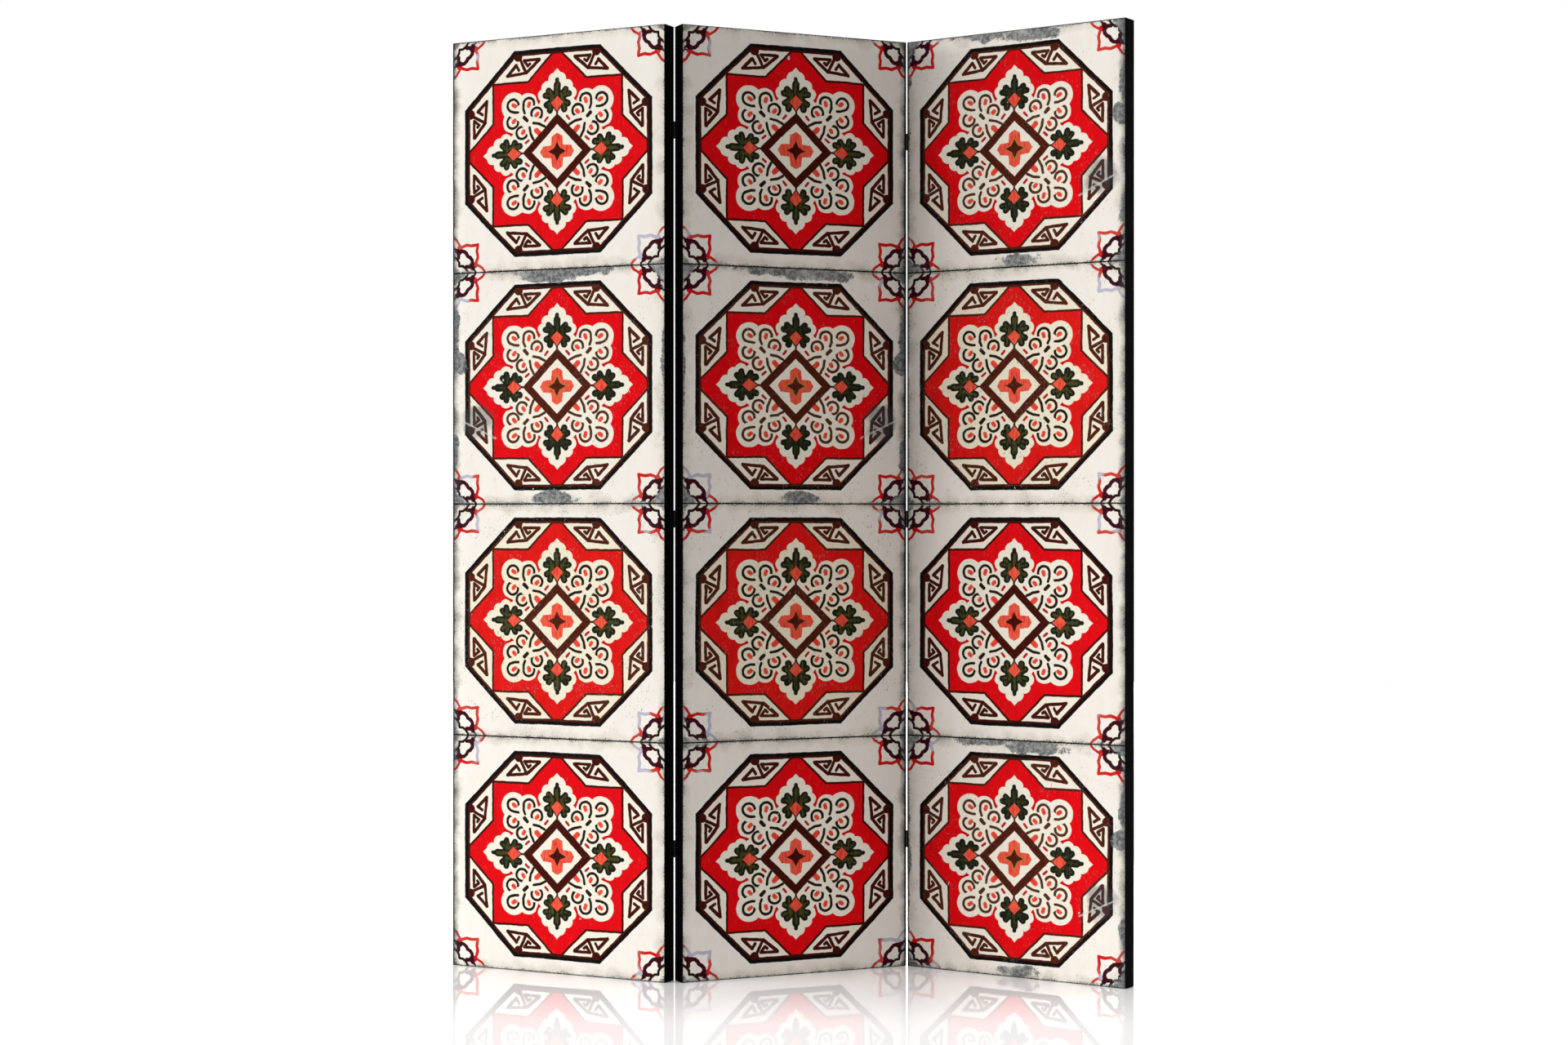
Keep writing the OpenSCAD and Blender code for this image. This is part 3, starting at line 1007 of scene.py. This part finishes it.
def black_paint(start, peel=900, wear=0.35):
    """Sprayed black with a peel of that scale, rubbed to bare steel by the share of wear."""
    point = start.node("ShaderNodeTexCoord", output=3)
    relief = noise(point, peel, 2, 0.5)
    rub = noise(point, 260, 4, 0.65)
    worn = between(rub, 0.62, 0.74) * wear
    bump = point.node(
        "ShaderNodeBump", sockets={"Strength": 0.25, "Distance": 0.0001, "Height": relief}
    )
    return {
        "Base Color": blend(worn, PAINT_BLACK, BARE_STEEL),
        "Roughness": between(rub, 0.3, 0.8) * 0.2 + 0.36,
        "Specular IOR Level": 0.25,
        "Metallic": worn,
        "Normal": bump,
    }


def black_oxide(start):
    return black_paint(start, peel=1800, wear=0.5)


def pin_paint(start):
    return black_paint(start, peel=1300, wear=0.7)


hinge_finish = surface("hinge_black", black_paint)
screw_finish = surface("hinge_screw", black_oxide)
pin_finish = surface("hinge_pin", pin_paint)

# %% [markdown]
# ## The hidden frame
# Under the cloth are pine stiles, rails and bars, beech dowels and staples. They are never seen
# in the photograph, but they are part of the object, so each gets its own finish. Pine has long
# pale growth lines along the board. Boards run two ways, so the grain is stretched along the
# board's own length: up for stiles and across for rails and bars.

# %% Wood and wire finishes
PINE_PALE = shown(226, 194, 146)
PINE_LATE = shown(190, 140, 84)
BEECH = shown(206, 164, 122)
BEECH_FLECK = shown(166, 118, 78)
ZINC = shown(196, 198, 202)
ZINC_DULL = shown(140, 144, 150)


def grain_paint(pale, dark, along):
    """Wood grain that runs along the given share of each axis."""

    def paint(start):
        point = start.node("ShaderNodeTexCoord", output=3) * along
        drift = noise(point, 18, 3, 0.6)
        rings = point.node(
            "ShaderNodeTexWave", {"bands_direction": "DIAGONAL"},
            {"Vector": point, "Scale": 60.0, "Distortion": 6.0, "Detail": 3.0},
        )
        pores = noise(point, 700, 3, 0.6)
        line = between(rings * 0.7 + drift * 0.5, 0.35, 0.95)
        bump = point.node(
            "ShaderNodeBump", sockets={"Strength": 0.3, "Distance": 0.0002, "Height": pores}
        )
        return {
            "Base Color": blend(line * 0.8 + between(pores, 0.5, 0.8) * 0.2, pale, dark),
            "Roughness": line * 0.12 + 0.55,
            "Normal": bump,
        }

    return paint


def zinc_paint(start):
    """Galvanised wire, bright with dull spangles."""
    point = start.node("ShaderNodeTexCoord", output=3)
    spangle = noise(point, 1500, 3, 0.6)
    return {
        "Base Color": blend(between(spangle, 0.35, 0.7), ZINC, ZINC_DULL),
        "Roughness": between(spangle, 0.3, 0.7) * 0.2 + 0.28,
        "Metallic": 1.0,
    }


FINISHES = {
    "stile": surface("pine_upright", grain_paint(PINE_PALE, PINE_LATE, (1.0, 1.0, 0.06))),
    "level": surface("pine_level", grain_paint(PINE_PALE, PINE_LATE, (0.08, 0.08, 1.0))),
    "dowels": surface("beech_dowel", grain_paint(BEECH, BEECH_FLECK, (0.3, 0.3, 1.0))),
    "staples": surface("staple_wire", zinc_paint),
    "pin": pin_finish,
    "screws": screw_finish,
    "leaf": hinge_finish,
}


def finish_for(node):
    """The finish of a CAD node, by what its name ends in."""
    if node.endswith(("rail", "bar")):
        return FINISHES["level"]
    return next((finish for word, finish in FINISHES.items() if node.endswith(word)), None)


given = 0
for name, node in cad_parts.items():
    finish = finish_for(name)
    if finish is None:
        continue
    for slot in node.material_slots:
        slot.material = finish
    given += 1
print("gave a finish to", given, "of", len(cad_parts), "CAD nodes")

# %% [markdown]
# ## The floor
# The photograph has a white ground that mirrors the screen faintly, stronger near its foot. So
# the floor is a matt white sheet with a share of mirror mixed in, and that share fades with the
# distance from the screen, in a near and a far step. A glossy floor all over would mirror the
# whole screen just as strongly. The camera and mirrors see the floor as white, but the light it
# sends on to the screen is less, as in a studio with dark walls.

# %% Floor
FLOOR_HALF = 9.0
FLOOR_SEEN = (0.96, 0.96, 0.96, 1)
FLOOR_BOUNCE = (0.17, 0.17, 0.17, 1)
WHITE = (1, 1, 1, 1)
MIRROR_MIDDLE = 0.12
MIRROR_NEAR = (0.62, 0.33)
NEAR_SHARE = 0.15
MIRROR_FAR = (1.6, 0.8)
FAR_SHARE = 0.3
MIRROR_BLUR = 0.03


def seen_directly(start):
    """1 for rays from the camera, in a mirror or through glass."""
    path = start.node("ShaderNodeLightPath")
    glossy = Wire(path.tree, path.socket.node.outputs["Is Glossy Ray"])
    clear = Wire(path.tree, path.socket.node.outputs["Is Transmission Ray"])
    return path.most(glossy).most(clear)


def floor_material():
    """Matt white, with a share of mirror that goes from none to full between two distances."""
    material = bpy.data.materials.new("studio_floor")
    material.use_nodes = True
    tree = material.node_tree
    tree.nodes.remove(tree.nodes["Principled BSDF"])
    start = Wire(tree)
    point = start.node("ShaderNodeTexCoord", output=3)
    away = abs(point.part(1) - MIRROR_MIDDLE)
    shine = between(away, *MIRROR_NEAR) * NEAR_SHARE + between(away, *MIRROR_FAR) * FAR_SHARE
    tone = blend(seen_directly(start), FLOOR_BOUNCE, FLOOR_SEEN)
    plain = start.node("ShaderNodeBsdfDiffuse", sockets={"Color": tone})
    mirror = start.node(
        "ShaderNodeBsdfGlossy", sockets={"Color": WHITE, "Roughness": MIRROR_BLUR}
    )
    both = start.node("ShaderNodeMixShader", sockets={0: shine, 1: plain, 2: mirror})
    tree.links.new(both.socket, tree.nodes["Material Output"].inputs["Surface"])
    return material


sheet = bmesh.new()
bmesh.ops.create_grid(sheet, x_segments=2, y_segments=2, size=FLOOR_HALF)
floor_mesh = bpy.data.meshes.new("studio_floor")
sheet.to_mesh(floor_mesh)
sheet.free()
floor = bpy.data.objects.new("studio_floor", floor_mesh)
floor_mesh.materials.append(floor_material())
bpy.context.scene.collection.objects.link(floor)
print("floor is", 2 * FLOOR_HALF, "m square")

# %% [markdown]
# ## The light
# The camera sees a white world, which lights the screen with only a fifth of that. Most light
# comes from a large softbox far to the left, almost in line with the row of panels, so that the
# panels that turn towards it are bright and the others fall into shade. A small fill on the
# right keeps the shade from going black, a lamp behind the screen whitens the ground under it,
# and a broad light overhead gives the floor its even white.

# %% World and lamps
WORLD_LIGHT = 0.2
LAMP_TARGET = (0, 0, PANEL_HEIGHT / 2)
KEY_DISTANCE = 14.0
KEY_ANGLE = math.radians(11)
KEY_HEIGHT = 1.8
FILL_DISTANCE = 6.0
FILL_ANGLE = math.radians(26)
FILL_HEIGHT = 1.2
REAR_PLACE = (1.5, 9.0, 2.0)
CEILING_STRENGTH = 3.0
CEILING_SPREAD = math.radians(40)

world = bpy.data.worlds.new("studio")
bpy.context.scene.world = world
world.use_nodes = True
air = Wire(world.node_tree)
strength = seen_directly(air) * (1 - WORLD_LIGHT) + WORLD_LIGHT
background = air.node(
    "ShaderNodeBackground", sockets={"Color": WHITE, "Strength": strength}
)
world.node_tree.links.new(
    background.socket, world.node_tree.nodes["World Output"].inputs["Surface"]
)


def soft_lamp(name, place, width, height, power):
    """A rectangular softbox in metres and watts that looks at the middle of the screen."""
    data = bpy.data.lights.new(name, "AREA")
    data.shape = "RECTANGLE"
    data.size = width
    data.size_y = height
    data.energy = power
    lamp = bpy.data.objects.new(name, data)
    lamp.location = place
    direction = Vector(LAMP_TARGET) - Vector(place)
    lamp.rotation_euler = direction.to_track_quat("-Z", "Y").to_euler()
    bpy.context.scene.collection.objects.link(lamp)


key_place = (-KEY_DISTANCE * math.cos(KEY_ANGLE), -KEY_DISTANCE * math.sin(KEY_ANGLE), KEY_HEIGHT)
fill_place = (
    FILL_DISTANCE * math.cos(FILL_ANGLE), -FILL_DISTANCE * math.sin(FILL_ANGLE), FILL_HEIGHT
)
soft_lamp("side_softbox", key_place, width=6.0, height=4.2, power=1780)
soft_lamp("fill_softbox", fill_place, width=1.8, height=2.0, power=54)
soft_lamp("rear_softbox", REAR_PLACE, width=4.0, height=3.0, power=420)

ceiling_data = bpy.data.lights.new("ceiling_light", "SUN")
ceiling_data.energy = CEILING_STRENGTH
ceiling_data.angle = CEILING_SPREAD
ceiling = bpy.data.objects.new("ceiling_light", ceiling_data)
bpy.context.scene.collection.objects.link(ceiling)
